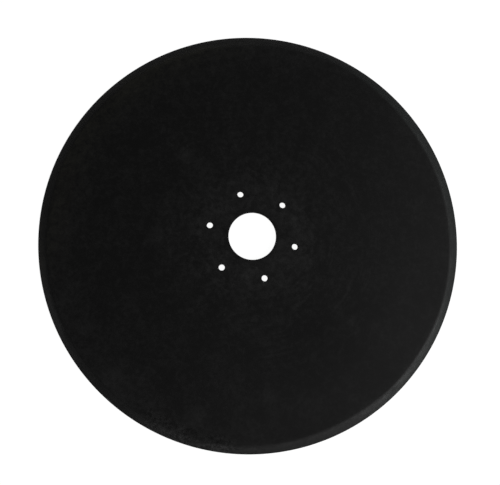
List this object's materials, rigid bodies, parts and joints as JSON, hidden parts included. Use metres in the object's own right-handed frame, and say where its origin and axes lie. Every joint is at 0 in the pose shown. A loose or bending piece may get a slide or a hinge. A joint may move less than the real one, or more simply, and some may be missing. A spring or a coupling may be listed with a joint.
{
  "type": "disc opener blade",
  "caption": "Flat round steel blade with a ground bevel at its rim, a centre bore and a circle of small rivet holes, painted black.",
  "frame": {"origin": "on the axis of the centre bore, in the flat back face that the blade lies on", "axes": "+Z along the bore's axis, out of the front face, which carries the ground bevel; +X through the centre of one rivet hole"},
  "size_m": [0.3809, 0.381, 0.004],
  "materials": {
    "black_paint": "thin satin black paint over ground steel plate, slightly hazy and scuffed"
  },
  "bodies": {
    "root": {"blade": "black_paint"}
  },
  "joints": []
}
